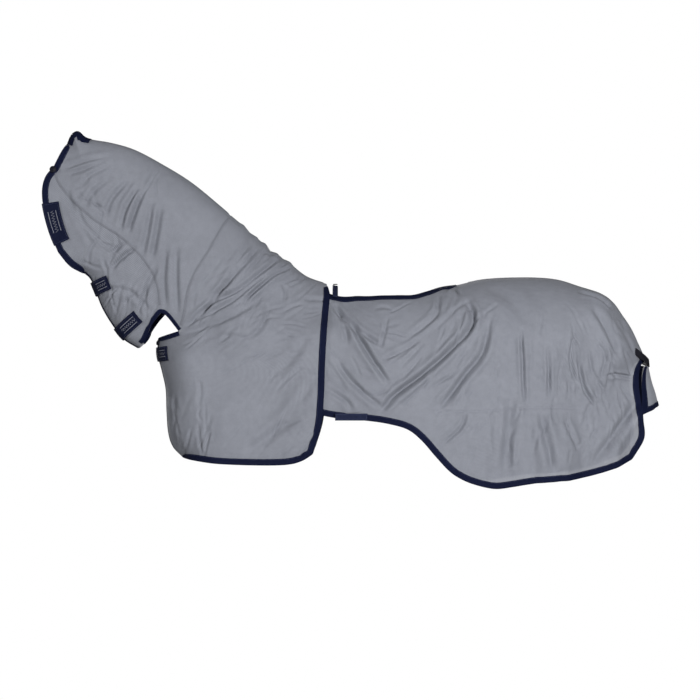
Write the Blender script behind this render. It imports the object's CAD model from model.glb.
# %% [markdown]
# # A horse's fly sheet with a hood
#
# A fly sheet is a light cover of knitted mesh that keeps flies off a horse.
# This riding one comes in two halves: a front section with a hood, and a rear
# section that is cut away for the saddle.  Navy tape binds every edge.
# The lesson builds the whole cover as thin cloth that lies on an unseen body.
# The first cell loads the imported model, which fixes every size and place.

# %% Load the frame
import math

import bmesh
import bpy
import numpy as np
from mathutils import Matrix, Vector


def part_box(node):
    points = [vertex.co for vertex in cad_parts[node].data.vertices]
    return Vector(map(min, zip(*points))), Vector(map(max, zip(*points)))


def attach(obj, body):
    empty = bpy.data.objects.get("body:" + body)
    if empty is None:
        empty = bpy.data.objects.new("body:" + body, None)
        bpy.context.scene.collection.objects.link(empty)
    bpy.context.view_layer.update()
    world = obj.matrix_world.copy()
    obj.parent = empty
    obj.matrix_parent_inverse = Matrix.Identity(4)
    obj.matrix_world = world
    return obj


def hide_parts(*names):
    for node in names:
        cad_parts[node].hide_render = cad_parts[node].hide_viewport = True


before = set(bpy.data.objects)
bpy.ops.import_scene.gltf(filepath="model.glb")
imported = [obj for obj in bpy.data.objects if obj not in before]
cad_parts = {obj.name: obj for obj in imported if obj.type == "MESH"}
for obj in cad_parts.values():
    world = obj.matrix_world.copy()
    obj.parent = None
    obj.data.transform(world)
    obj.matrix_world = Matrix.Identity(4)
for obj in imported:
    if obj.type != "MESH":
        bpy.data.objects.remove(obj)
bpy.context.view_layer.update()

# %% [markdown]
# ## The outline
# The cloth is cut to a side view, so each edge and seam is a short list of
# (x, z) points in millimetres.  The horse faces -X, and the origin is on top of the
# withers.  A smooth curve through the points gives the sewn line; a curve is
# better here than more points, because few points are easy to correct.

# %% Edges and seams of the side view
def in_metres(*values):
    """Pairs of (x, z) in metres from a flat list in millimetres."""
    return [(x / 1000, z / 1000) for x, z in zip(values[::2], values[1::2])]


CREST = in_metres(-900, 489, -886, 520, -864, 532, -831, 508, -746, 492, -666, 468, -576, 421, -469, 355,
                  -360, 266, -329, 238)
WITHERS = in_metres(-329, 238, -280, 196, -193, 119, -134, 80, -67, 27, 6, 0)
BACK = in_metres(6, 0, 80, -12, 200, -17, 340, -12, 462, -4)
CROUP = in_metres(462, -4, 508, 7, 560, 16, 640, 21, 740, 21, 816, 13, 890, -10, 963, -34, 1006, -65,
                  1037, -108, 1070, -158, 1100, -222, 1119, -262)
BROW_EDGE = in_metres(-900, 489, -919, 455, -943, 405)
CHEEK_EDGE = in_metres(-943, 405, -969, 373, -979, 330, -976, 275, -964, 220, -945, 160, -922, 108)
JAW_EDGE = in_metres(-922, 108, -882, 63, -840, 38, -817, 15, -795, -40, -775, -88, -741, -144, -702, -193,
                     -651, -225)
THROAT_EDGE = in_metres(-651, -225, -625, -193, -604, -150, -567, -101)
NOTCH_EDGE = in_metres(-567, -101, -545, -112, -500, -167)
CHEEK_SEAM = in_metres(-943, 405, -928, 356, -901, 318, -863, 277, -790, 215, -719, 171, -679, 138,
                       -630, 88, -590, 28, -572, -30, -567, -101)
NECK_SEAM = in_metres(-329, 238, -357, 194, -398, 115, -446, 36, -472, -33, -483, -100, -500, -167)
CHEST_CORNER = in_metres(-500, -167, -582, -191)
CHEST_EDGE = in_metres(-582, -191, -583, -246, -568, -307, -555, -369, -552, -446, -546, -520, -530, -568,
                       -498, -602)
FRONT_HEM = in_metres(-498, -602, -451, -608, -356, -618, -218, -622, -127, -619, -77, -606, -40, -583)
FRONT_REAR_EDGE = in_metres(6, 0, 15, -40, 12, -90, 5, -190, 0, -290, -3, -389, -12, -488, -40, -583)
SADDLE_EDGE = in_metres(-34, -4, 10, -28, 65, -42, 122, -45, 216, -44, 296, -42, 353, -27, 408, -12,
                        462, -4)
HIDDEN_EDGE = in_metres(-34, -4, -46, -100, -52, -250, -58, -380, -60, -438)
REAR_HEM = in_metres(-60, -438, 33, -459, 147, -469, 220, -480, 284, -499, 331, -536, 379, -591, 425, -640,
                     466, -667, 511, -685, 568, -698, 614, -696, 692, -684, 770, -676, 838, -671, 903, -659,
                     985, -635, 1056, -603)
TAIL_EDGE = in_metres(1119, -262, 1098, -274, 1083, -305, 1080, -355, 1087, -410, 1093, -472, 1096, -535,
                      1056, -603)


def smooth_curve(points):
    """A dense line through the points, rounded at each one."""
    p = np.array(points, float)
    p = np.vstack([2 * p[0] - p[1], p, 2 * p[-1] - p[-2]])
    t = np.linspace(0, 1, 24, endpoint=False)[:, None]
    spans = [0.5 * (2 * b + (c - a) * t + (2 * a - 5 * b + 4 * c - d) * t * t
                    + (3 * b - a - 3 * c + d) * t ** 3)
             for a, b, c, d in zip(p[:-3], p[1:-2], p[2:-1], p[3:])]
    return np.vstack(spans + [p[-2:-1]])


def lengths(line):
    """Distance along a line at each of its points."""
    return np.concatenate([[0], np.cumsum(np.linalg.norm(np.diff(line, axis=0), axis=1))])


def along(line, fractions):
    """Points at fractions of a line's length."""
    far = lengths(line)
    return np.stack([np.interp(np.asarray(fractions) * far[-1], far, line[:, k])
                     for k in range(line.shape[1])], axis=1)


def spline(points, fractions):
    return along(smooth_curve(points), fractions)


def even(count):
    return np.linspace(0, 1, count + 1)


def joined(*lines):
    """Lines joined end to end, with the shared points kept once."""
    return np.vstack([lines[0]] + [line[1:] for line in lines[1:]])


TOP_LINE = joined(*[spline(c, even(80)) for c in (CREST, WITHERS, BACK, CROUP)])
JAW_LINE = spline(JAW_EDGE[2:], even(60))
CHEST_LINE = spline(CHEST_EDGE, even(60))
print("length over the top line: %.2f m" % lengths(TOP_LINE)[-1])

# %% [markdown]
# ## The body under the cloth
# The side view has no depth, so a small table says how far the cloth stands
# out from the centre plane at thirty places.  Nearness blends the table, and a
# round edge closes it towards the crest, jaw and chest.  A formula was chosen
# instead of a carved body, because every piece can then ask it for its place.

# %% How far out the cloth lies
FORM = np.array([(-0.94, 0.40, 0.052), (-0.97, 0.28, 0.082), (-0.93, 0.15, 0.086), (-0.85, 0.20, 0.102),
                 (-0.83, 0.06, 0.085), (-0.72, -0.14, 0.085), (-0.75, 0.38, 0.090), (-0.60, 0.20, 0.112),
                 (-0.62, 0.00, 0.112), (-0.45, 0.20, 0.120), (-0.45, 0.00, 0.145), (-0.54, -0.14, 0.135),
                 (-0.20, 0.00, 0.165), (-0.25, -0.20, 0.225), (-0.45, -0.30, 0.215),
                 (-0.30, -0.50, 0.250), (-0.47, -0.55, 0.215), (0.00, -0.06, 0.200),
                 (0.00, -0.20, 0.255), (0.00, -0.45, 0.290), (0.25, -0.10, 0.265), (0.25, -0.40, 0.300),
                 (0.50, -0.20, 0.280), (0.50, -0.60, 0.312), (0.75, -0.20, 0.282), (0.75, -0.60, 0.312),
                 (0.95, -0.25, 0.225), (0.96, -0.60, 0.240), (1.08, -0.35, 0.148), (1.09, -0.55, 0.168)])
ROUNDING = np.array([(-0.90, 0.45, 0.110), (-0.60, 0.35, 0.150), (-0.30, 0.15, 0.200), (0.00, -0.05, 0.280),
                     (0.40, -0.05, 0.270), (0.75, 0.00, 0.270), (1.00, -0.10, 0.160), (1.10, -0.25, 0.110)])
FORM_REACH = 0.16
JAW_ROUND, CHEST_ROUND, FRONT_HALF_GAP = 0.080, 0.130, 0.013


def to_line(x, z, line):
    """Distance from each (x, z) to a line, worked out a few thousand points at a time."""
    a, d = line[:-1], line[1:] - line[:-1]
    long = np.maximum((d ** 2).sum(1), 1e-12)
    out = np.empty(x.size)
    for start in range(0, x.size, 4000):
        px = x[start:start + 4000, None] - a[:, 0]
        pz = z[start:start + 4000, None] - a[:, 1]
        t = np.clip((px * d[:, 0] + pz * d[:, 1]) / long, 0, 1)
        out[start:start + 4000] = np.hypot(px - t * d[:, 0], pz - t * d[:, 1]).min(1)
    return out


def blended(x, z, places):
    r2 = (x[:, None] - places[:, 0]) ** 2 + (z[:, None] - places[:, 1]) ** 2
    w = (r2 + 0.002) ** -1.5 * np.exp(-r2 / (2 * FORM_REACH) ** 2 * 0.5)
    return (w * places[:, 2]).sum(1) / w.sum(1)


def round_edge(distance, radius):
    t = np.minimum(distance / radius, 1.0)
    return np.sqrt(np.maximum(0.0, 1 - (1 - t) ** 2))


def half_width(x, z):
    """How far the cloth stands out from the centre plane at points of the side view."""
    x, z = np.asarray(x, float), np.asarray(z, float)
    shape, x, z = x.shape, x.ravel(), z.ravel()
    jaw, chest = to_line(x, z, JAW_LINE), to_line(x, z, CHEST_LINE)
    top = round_edge(to_line(x, z, TOP_LINE), blended(x, z, ROUNDING))
    gap = FRONT_HALF_GAP * np.exp(-np.minimum(jaw, chest) / 0.03)
    full = blended(x, z, FORM) * top * round_edge(jaw, JAW_ROUND) * round_edge(chest, CHEST_ROUND)
    return (np.hypot(full, gap) + 0.0010).reshape(shape)


def form_normal(x, z, step=0.003):
    """Direction in which the body faces, on the left side."""
    gx = (half_width(x + step, z) - half_width(x - step, z)) / (2 * step)
    gz = (half_width(x, z + step) - half_width(x, z - step)) / (2 * step)
    n = np.stack([-gx, -np.ones_like(gx), -gz], axis=-1)
    return n / np.linalg.norm(n, axis=-1, keepdims=True)


print("width of the barrel: %.3f m" % (2 * half_width(np.array([0.50]), np.array([-0.60]))[0]))

# %% [markdown]
# ## The folds
# Mesh cloth is limp, so it drops into soft folds where it has spare length:
# across the throat, down from the withers, and forward from the flank.  Each
# fold is a line of points with a depth and a half width.  The cloth dips along
# the line and swells a little on both sides, as a real fold does.  A written
# table was chosen over a chance pattern, because the folds have known places.

# %% The table of folds
# Depth and half width, then x and z of each point, all in millimetres.
FOLD_ROWS = [
    (3.5, 8, -909, 401, -831, 424, -753, 441),
    (3.5, 8, -891, 380, -822, 401, -753, 427),
    (3, 8, -848, 341, -805, 380, -744, 410),
    (3.5, 9, -831, 263, -805, 315, -735, 375),
    (4, 9, -761, 237, -735, 297, -679, 358),
    (4.5, 8, -706, 193, -689, 263, -644, 330),
    (6, 8, -679, 178, -657, 245, -627, 323),
    (4, 9, -631, 98, -614, 176, -597, 278),
    (5, 9, -597, 88, -580, 176, -567, 261),
    (4, 10, -508, -107, -513, 10, -513, 131),
    (3, 9, -550, -79, -557, 12, -547, 116),
    (6, 8, -430, -119, -361, -33, -297, 42, -233, 119),
    (7, 8, -482, -153, -378, -67, -297, -26, -220, 34, -160, 85),
    (6, 7, -471, -148, -322, -64, -237, -1, -134, 68),
    (7, 6, -280, -73, -237, -26, -177, 25, -117, 56),
    (4, 9, -430, -79, -354, -17, -262, 134),
    (4, 10, -478, -172, -413, -152, -305, -108, -169, -26),
    (3, 6, -213, 104, -152, 97, -111, 63),
    (4, 9, -262, -197, -211, -146, -194, -86),
    (3.5, 14, -160, -308, -100, -248, -63, -190),
    (3, 6, -145, -6, -134, -33, -138, -60),
    (2, 8, -430, -210, -375, -179, -254, -190),
    (4, 15, -262, -579, -152, -504, -49, -419),
    (3, 14, -213, -538, -111, -443, -35, -333),
    (3.5, 9, -897, 323, -876, 271, -805, 133),
    (6, 7, -735, 55, -701, 90, -657, 119),
    (4, 6, -744, 102, -692, 141),
    (4, 9, -631, -68, -609, -6, -581, 53),
    (3, 9, -768, -16, -675, -30, -599, -99),
    (3, 7, -858, 271, -834, 213, -789, 157),
    (6, 8, 23, -65, 104, -155, 193, -217),
    (4, 8, 37, -78, 71, -155, 79, -211),
    (8, 9, 98, -153, 147, -239, 217, -343),
    (5, 9, 45, -273, 104, -350, 198, -428),
    (11, 10, 193, -438, 240, -384, 342, -307, 427, -231, 495, -155, 505, -104, 488, -71),
    (4, 8, 206, -262, 257, -239, 325, -197),
    (4.5, 8, 295, -180, 342, -146, 385, -104, 393, -44),
    (9, 11, 393, -428, 435, -375, 478, -316, 537, -239, 563, -122),
    (3, 6, 193, -221, 203, -180, 215, -122),
    (4, 8, 12, -361, 71, -401, 94, -435),
    (6, 6, 668, -183, 673, -265, 678, -408),
    (4, 6, 758, -221, 762, -307, 766, -394),
    (5, 6, 847, -183, 838, -265, 858, -346),
    (7, 7, 868, -265, 885, -358, 923, -418),
    (4, 5, 966, -320, 1007, -317, 1058, -324),
    (4, 6, 481, -443, 461, -494, 402, -547),
    (8, 18, 634, -390, 626, -520, 604, -652),
    (8, 14, 733, -440, 758, -554, 777, -645),
    (9, 16, 1080, -405, 1000, -510, 925, -605),
    (6, 12, 920, -85, 975, -170, 1000, -250),
    (3, 20, 560, -10, 640, -60, 700, -150),
    (4, 8, 817, -469, 845, -530, 862, -571),
    (2, 4, 359, -438, 546, -438, 716, -426, 885, -431),
    (3, 7, 929, -204, 959, -252, 945, -327),
    (3, 6, 902, -231, 916, -306, 966, -375),
    (6, 6, 882, -31, 945, -51, 990, -87),
    (4, 6, 417, -21, 447, -17, 464, -44),
]
FOLDS = [(in_metres(*row[2:]), row[0] / 1000, row[1] / 1000) for row in FOLD_ROWS]


def smoothly(low, high, value):
    t = np.clip((value - low) / (high - low), 0, 1)
    return t * t * (3 - 2 * t)


def fold_height(x, z, folds, strength=1.0):
    """How far the folds push the cloth out (+) or let it drop in (-)."""
    out = np.zeros(x.size)
    for points, depth, half in folds:
        line = smooth_curve(points)
        reach = half * 6
        low, high = line.min(0) - reach, line.max(0) + reach
        near = np.flatnonzero((x > low[0]) & (x < high[0]) & (z > low[1]) & (z < high[1]))
        if not near.size:
            continue
        px, pz = x[near], z[near]
        gap = np.hypot(px[:, None] - line[:, 0], pz[:, None] - line[:, 1])
        share = gap.argmin(1) / (len(line) - 1)
        taper = np.sqrt(np.clip(np.minimum(share, 1 - share) * 5, 0.03, 1))
        d = to_line(px, pz, line)
        valley = -np.exp(-(d / half) ** 2)
        swell = 0.55 * np.exp(-((d - 1.9 * half) / (1.2 * half)) ** 2)
        out[near] += depth * strength * taper * (valley + swell)
    return out


def soft_waves(x, z, seed):
    """Slow, shallow unevenness that every hung cloth has."""
    chance = np.random.default_rng(seed)
    out = np.zeros(x.size)
    for _ in range(14):
        turn, wave = chance.uniform(0, math.pi), chance.uniform(0.06, 0.24)
        shift, high = chance.uniform(0, 6.28), chance.uniform(0.3, 1.0)
        out += high * np.sin((x * math.cos(turn) + z * math.sin(turn)) * 6.283 / wave + shift) * wave
    return out * 0.0038


print("%d folds, the deepest %.0f mm" % (len(FOLDS), 1000 * max(f[1] for f in FOLDS)))

# %% [markdown]
# Between the large folds a knitted cloth has dozens of small creases.  They run
# the way the cloth is pulled: across the throat, from the withers down to the
# chest, forward over the flank, and straight down the rump.  So each small
# crease takes its direction from a table of pulls, and only its exact place,
# length and depth come from chance, with a fixed seed.  Low on the rump the
# cloth hangs free, and there it stands in upright pleats.

# %% Small creases, pleats and the gathered crest
PULL = np.array([(-0.85, 0.40, 15), (-0.85, 0.20, 300), (-0.72, 0.30, 70), (-0.60, 0.20, 85), (-0.66, 0.05, 60),
                 (-0.50, 0.05, 88), (-0.35, 0.00, 40), (-0.20, 0.05, 40), (-0.30, -0.20, 30), (-0.45, -0.40, 85),
                 (-0.20, -0.45, 45), (0.10, -0.25, -55), (0.30, -0.30, 42), (0.45, -0.20, 55), (0.45, -0.50, 50),
                 (0.65, -0.25, 88), (0.65, -0.55, 88), (0.85, -0.35, 100), (0.95, -0.25, 115), (0.90, -0.58, 75)])
SPREAD = [(-0.92, -0.58, -0.20, 0.40, 70), (-0.45, -0.02, -0.20, 0.10, 60), (-0.52, -0.05, -0.58, -0.20, 34),
          (0.02, 0.50, -0.45, -0.08, 60), (0.45, 0.78, -0.62, -0.10, 34), (0.76, 1.06, -0.60, -0.10, 74)]


def small_creases(seed):
    chance = np.random.default_rng(seed)
    out = []
    for x0, x1, z0, z1, count in SPREAD:
        for _ in range(count):
            x, z = chance.uniform(x0, x1), chance.uniform(z0, z1)
            near = ((PULL[:, 0] - x) ** 2 + (PULL[:, 1] - z) ** 2 + 1e-4) ** -2
            turn = np.radians((near * PULL[:, 2]).sum() / near.sum() + chance.normal(0, 13))
            long, bow = chance.uniform(0.020, 0.065), chance.normal(0, 0.004)
            d, q = np.array([math.cos(turn), math.sin(turn)]), np.array([-math.sin(turn), math.cos(turn)])
            c = np.array([x, z])
            out.append(([tuple(c - d * long), tuple(c + q * bow), tuple(c + d * long)],
                        chance.uniform(0.0009, 0.0036), chance.uniform(0.0035, 0.0075)))
    return out


def hem_pleats(x, z, seed):
    """Upright pleats in the free-hanging cloth of the rump, deeper towards the hem."""
    drop = smoothly(-0.36, -0.62, z) * smoothly(0.50, 0.62, x) * (1 - smoothly(0.98, 1.08, x))
    lean = x + 0.10 * (z + 0.6)
    slow = (np.sin(lean * 31 + seed) + 0.6 * np.sin(lean * 74 + 1.3 * seed)
            + 0.35 * np.sin(lean * 143 + 2 * seed))
    return 0.0038 * drop * slow


CREST_HUMPS = [(-0.287, 0.0035, 0.009), (-0.262, -0.0020, 0.007), (-0.240, 0.0030, 0.008), (-0.212, 0.0060, 0.010),
               (-0.190, -0.0030, 0.006), (-0.170, 0.0040, 0.009), (-0.146, -0.0020, 0.006), (-0.124, 0.0035, 0.009)]


def gathered_crest(x):
    """Small humps where the folds of the withers cross the top of the neck."""
    return sum(high * np.exp(-((x - place) / wide) ** 2) for place, high, wide in CREST_HUMPS)


print("%d small creases a side" % sum(s[-1] for s in SPREAD))

# %% [markdown]
# ## One rule for where the cloth lies
# Every piece below asks the same question: where is the cloth at this point of
# the side view?  The answer is the body, plus the folds along the body's own
# direction.  The rear section lies a little lower where the front section
# covers it.  Panels, bindings and seams agree, because they share the answer.

# %% Where the cloth lies
REAR_DROP = 0.0094
TUCKED_AWAY = (0.040, 0.120)


def mirrored_folds():
    """The off side hangs a little differently, so its folds are shifted and changed in depth."""
    chance = np.random.default_rng(11)
    out = []
    for points, depth, half in FOLDS:
        shift = chance.uniform(-0.012, 0.012, 2)
        out.append(([(x + shift[0], z + shift[1]) for x, z in points],
                    depth * chance.uniform(0.6, 1.15), half * chance.uniform(0.9, 1.3)))
    return out


SIDE_FOLDS = {-1: FOLDS, 1: mirrored_folds()}
SMALL = {-1: small_creases(5), 1: small_creases(8)}
FOLD_STRENGTH = 1.75


def net_normals(p):
    """Direction of the cloth at each point of a net."""
    du = np.gradient(p, axis=0)
    dv = np.gradient(p, axis=1)
    n = np.cross(du, dv)
    return n / np.maximum(np.linalg.norm(n, axis=-1, keepdims=True), 1e-12)


def cloth(xz, side=-1, rear=False, extra=0.0):
    """Points of the cloth over side-view points; side -1 is the left, +1 the right."""
    xz = np.asarray(xz, float)
    x, z = xz[..., 0].ravel(), xz[..., 1].ravel()
    base = np.stack([xz[..., 0], -half_width(xz[..., 0], xz[..., 1]), xz[..., 1]], axis=-1)
    if xz.ndim == 3:
        n = net_normals(base).reshape(-1, 3)
        n *= np.where(n[:, 1:2] > 0, -1.0, 1.0)
    else:
        n = form_normal(x, z)
    edge = np.minimum(np.minimum(to_line(x, z, TOP_LINE), to_line(x, z, JAW_LINE)),
                      to_line(x, z, CHEST_LINE))
    lift = (fold_height(x, z, SIDE_FOLDS[side], FOLD_STRENGTH) + fold_height(x, z, SMALL[side])
            + soft_waves(x, z, 3 + side) + hem_pleats(x, z, 3 + side))
    lift *= smoothly(0.002, 0.018, edge)
    if rear:
        lift -= REAR_DROP * (1 - smoothly(*TUCKED_AWAY, x))
    p = base.reshape(-1, 3) + n * (lift + extra)[:, None]
    if not rear:
        over = gathered_crest(x) * (1 - smoothly(0.0, 0.055, to_line(x, z, TOP_LINE)))
        p += over[:, None] * np.array([0.55, 0.0, 0.83])
    p[:, 1] = np.minimum(p[:, 1], -0.0006) * -side
    return p.reshape(xz.shape[:-1] + (3,))


probe = cloth([(0.3, -0.3), (-0.3, -0.3)])
print("cloth stands out %.0f mm at the barrel and %.0f mm at the shoulder" % tuple(-1000 * probe[:, 1]))

# %% [markdown]
# ## A small shorthand for finishes
# A procedural finish is arithmetic on positions.  Written out node by node it
# is long, so this class wraps a socket and lets Python's own signs add the
# nodes.  The result is the same node tree as one wired by hand.

# %% Shorthand for shader arithmetic


class Wire:
    """A socket that can be added, multiplied and so on, each sign adding a Math node."""

    def __init__(self, tree, socket):
        self.tree, self.socket = tree, socket

    def math(self, sign, *others):
        node = self.tree.nodes.new("ShaderNodeMath")
        node.operation = sign
        for k, value in enumerate((self,) + others):
            if isinstance(value, Wire):
                self.tree.links.new(value.socket, node.inputs[k])
            else:
                node.inputs[k].default_value = value
        return Wire(self.tree, node.outputs[0])

    def __add__(self, other): return self.math("ADD", other)
    def __sub__(self, other): return self.math("SUBTRACT", other)
    def __rsub__(self, other): return (self * -1.0).math("ADD", other)
    def __mul__(self, other): return self.math("MULTIPLY", other)
    def __rmul__(self, other): return self.math("MULTIPLY", other)
    def __truediv__(self, other): return self.math("DIVIDE", other)
    def __abs__(self): return self.math("ABSOLUTE")
    def sine(self): return self.math("SINE")
    def fraction(self): return self.math("FRACT")
    def below(self, limit): return self.math("LESS_THAN", limit)
    def smooth(self, low, high): return self.range(low, high, 0.0, 1.0)

    def range(self, low, high, out_low, out_high):
        node = self.tree.nodes.new("ShaderNodeMapRange")
        node.interpolation_type = "SMOOTHSTEP"
        self.tree.links.new(self.socket, node.inputs[0])
        for k, value in enumerate((low, high, out_low, out_high)):
            node.inputs[k + 1].default_value = value
        return Wire(self.tree, node.outputs[0])


class Finish:
    """A material under construction: its tree, its shader and the usual coordinates."""

    def __init__(self, name, rough, sheen=0.0, sheen_rough=0.5, specular=0.5):
        self.material = bpy.data.materials.new(name)
        self.material.use_nodes = True
        self.tree = self.material.node_tree
        self.shader = self.tree.nodes["Principled BSDF"]
        self.shader.inputs["Roughness"].default_value = rough
        self.shader.inputs["Sheen Weight"].default_value = sheen
        self.shader.inputs["Sheen Roughness"].default_value = sheen_rough
        self.shader.inputs["Specular IOR Level"].default_value = specular

    def node(self, kind, links=(), **settings):
        made = self.tree.nodes.new(kind)
        for key, value in settings.items():
            setattr(made, key, value)
        for name, value in dict(links).items():
            if isinstance(value, Wire):
                self.tree.links.new(value.socket, made.inputs[name])
            else:
                made.inputs[name].default_value = value
        return made

    def place(self, uv=False):
        node = self.node("ShaderNodeTexCoord")
        return Wire(self.tree, node.outputs["UV" if uv else "Object"])

    def split(self, vector):
        node = self.node("ShaderNodeSeparateXYZ", {"Vector": vector})
        return [Wire(self.tree, node.outputs[k]) for k in range(3)]

    def cloudy(self, vector, scale, detail=2.0):
        node = self.node("ShaderNodeTexNoise", {"Vector": vector, "Scale": scale, "Detail": detail})
        return Wire(self.tree, node.outputs[0])

    def mixed(self, share, first, second):
        node = self.node("ShaderNodeMix", data_type="RGBA")
        for socket, value in ((node.inputs[0], share), (node.inputs[6], first), (node.inputs[7], second)):
            if isinstance(value, Wire):
                self.tree.links.new(value.socket, socket)
            else:
                socket.default_value = value
        return Wire(self.tree, node.outputs[2])

    def feed(self, socket, wire):
        self.tree.links.new(wire.socket, self.shader.inputs[socket])

    def raised(self, height, distance, strength=1.0):
        bump = self.node("ShaderNodeBump", {"Height": height, "Distance": distance, "Strength": strength})
        self.feed("Normal", Wire(self.tree, bump.outputs[0]))


print("shorthand ready")

# %% [markdown]
# ## The mesh cloth
# The cloth is a warp knit: fine upright ribs about 4 mm apart, and between
# them rows of tiny holes that let air through.  From a few metres it reads as
# soft grey, and the far side shows through faintly.  The holes lower Alpha,
# the ribs go to Bump, and a slow noise keeps a large panel from looking flat.
# The pattern runs on the panel's own UV map, in metres, so it follows the
# folds as knitting does.

# %% Finish: knitted mesh
MESH_LIGHT = (0.232, 0.243, 0.276, 1.0)
MESH_DARK = (0.142, 0.150, 0.177, 1.0)
RIB_PITCH = 0.0038


def knitted_mesh(name, closed=0.97, shade=1.0):
    made = Finish(name, rough=0.82, sheen=0.04, sheen_rough=0.45, specular=0.25)
    u, v, _ = made.split(made.place(uv=True))
    rib = (u * (2 * math.pi / RIB_PITCH)).sine()
    course = (v * (2 * math.pi / 0.0021)).sine()
    hole = ((rib * -0.5 + 0.5) * (course * 0.5 + 0.5)).smooth(0.55, 0.90)
    cloud = made.cloudy(made.place(), 5.0, 3.0)
    fine = made.cloudy(made.place(), 260.0, 1.0)
    patchy = made.cloudy(made.place(), 42.0, 3.0)
    tone = rib * 0.36 + course * 0.10 + cloud * 0.40 + patchy * 0.42 + fine * 0.34 - 0.13
    light = tuple(c * shade for c in MESH_LIGHT[:3]) + (1.0,)
    dark = tuple(c * shade for c in MESH_DARK[:3]) + (1.0,)
    made.feed("Base Color", made.mixed(tone.smooth(0.0, 0.9), dark, light))
    made.feed("Alpha", hole * -0.24 + closed)
    made.feed("Roughness", cloud * 0.14 + 0.70)
    made.raised(rib * 0.5 + course * 0.25 + fine * 0.5, 0.0006, 0.50)
    return made.material


mesh_cloth = knitted_mesh("knitted_mesh_grey")
flap_cloth = knitted_mesh("single_mesh_grey", closed=0.90, shade=1.12)
seam_cloth = knitted_mesh("doubled_mesh_grey", closed=1.0, shade=0.80)
print("ribs every %.1f mm" % (1000 * RIB_PITCH))

# %% [markdown]
# ## Bindings, webbing and closure tabs
# The binding is a flat navy tape with fine cross ribs.  The tabs are woven
# thicker, in two layers, with a plain stripe and zigzag woven into the face.
# Both are matt with a faint sheen from the nylon, and their edges wear paler.
# The stripe is worked out from the piece's own UV map, so no picture is needed.

# %% Finish: woven tapes
NAVY = (0.0032, 0.0050, 0.018, 1.0)
NAVY_LIGHT = (0.0066, 0.0096, 0.034, 1.0)
STRIPE_GREY = (0.26, 0.27, 0.31, 1.0)


def woven_tape(name, dark=NAVY, light=NAVY_LIGHT, pitch=0.0012, rough=0.62):
    made = Finish(name, rough=rough, sheen=0.0, specular=0.06)
    u, v, _ = made.split(made.place(uv=True))
    cross = (u * (2 * math.pi / pitch)).sine()
    lengthways = (v * (2 * math.pi / 0.0016)).sine()
    fuzz = made.cloudy(made.place(), 420.0, 2.0)
    dust = made.cloudy(made.place(), 14.0, 3.0)
    tone = cross * 0.16 + lengthways * 0.10 + fuzz * 0.45 + dust * 0.35
    made.feed("Base Color", made.mixed(tone.smooth(0.1, 0.95), dark, light))
    made.feed("Roughness", fuzz * 0.2 + (rough - 0.08))
    made.raised(cross * 0.5 + lengthways * 0.3 + fuzz * 0.5, 0.00035, 0.7)
    return made.material


def striped_tab(name, half_tall, motif_start, motif_end):
    """Tab webbing: two grey stripes with a zigzag between them, over part of its length."""
    made = Finish(name, rough=0.6, specular=0.08)
    u, v, _ = made.split(made.place(uv=True))
    cross = (u * (2 * math.pi / 0.0014)).sine()
    fuzz = made.cloudy(made.place(), 380.0, 2.0)
    tone = cross * 0.2 + fuzz * 0.6 + 0.05
    cloth_colour = made.mixed(tone.smooth(0.1, 0.9), NAVY, NAVY_LIGHT)
    away = abs(v - half_tall)
    stripe = abs(away - half_tall * 0.46).below(0.0009)
    zig = abs((u / 0.010).fraction() - 0.5) * (half_tall * 0.72) - half_tall * 0.18
    zigzag = abs(v - half_tall - zig).below(0.0010)
    inside = u.smooth(motif_start, motif_start + 0.001) * (1.0 - u.smooth(motif_end, motif_end + 0.001))
    thread = (stripe + zigzag).math("MINIMUM", 1.0) * inside * (fuzz * 0.5 + 0.62)
    made.feed("Base Color", made.mixed(thread, cloth_colour, STRIPE_GREY))
    made.feed("Roughness", fuzz * 0.2 + 0.52)
    made.raised(cross * 0.5 + fuzz * 0.5 + thread * 1.5, 0.0004, 0.8)
    return made.material


binding_tape = woven_tape("woven_binding_navy")
webbing = woven_tape("woven_webbing_navy", light=(0.030, 0.038, 0.085, 1), pitch=0.0022)
strap_black = woven_tape("woven_strap_black", (0.006, 0.006, 0.009, 1), (0.016, 0.016, 0.022, 1), 0.0018)
print("tapes, webbing and striped tabs ready")

# %% [markdown]
# ## Toggles and thread
# The toggles are small moulded buttons: black and nearly matt, with a fine
# orange-peel texture from the mould.  The thread is navy polyester, a shade
# lighter than the tape, so that the stitches can just be made out.

# %% Finish: moulded toggle and sewing thread
def moulded_black():
    made = Finish("moulded_black", rough=0.55, specular=0.12)
    peel = made.cloudy(made.place(), 900.0, 2.0)
    worn = made.cloudy(made.place(), 120.0, 3.0)
    made.feed("Base Color", made.mixed(worn.smooth(0.45, 0.8), (0.004, 0.004, 0.008, 1),
                                       (0.010, 0.011, 0.018, 1)))
    made.feed("Roughness", worn * 0.20 + 0.45)
    made.raised(peel, 0.0002, 0.4)
    return made.material


def sewing_thread(name, colour):
    made = Finish(name, rough=0.5, sheen=0.1, specular=0.45)
    twist = made.cloudy(made.place(), 1500.0, 1.0)
    pale = tuple(min(1.0, c * 1.7) for c in colour[:3]) + (1.0,)
    made.feed("Base Color", made.mixed(twist.smooth(0.3, 0.7), colour, pale))
    made.raised(twist, 0.0002, 0.5)
    return made.material


toggle_finish = moulded_black()
navy_thread = sewing_thread("navy_thread", (0.030, 0.036, 0.080, 1))
grey_thread = sewing_thread("grey_thread", (0.120, 0.125, 0.150, 1))
print(len(bpy.data.materials), "finishes made")

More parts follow.
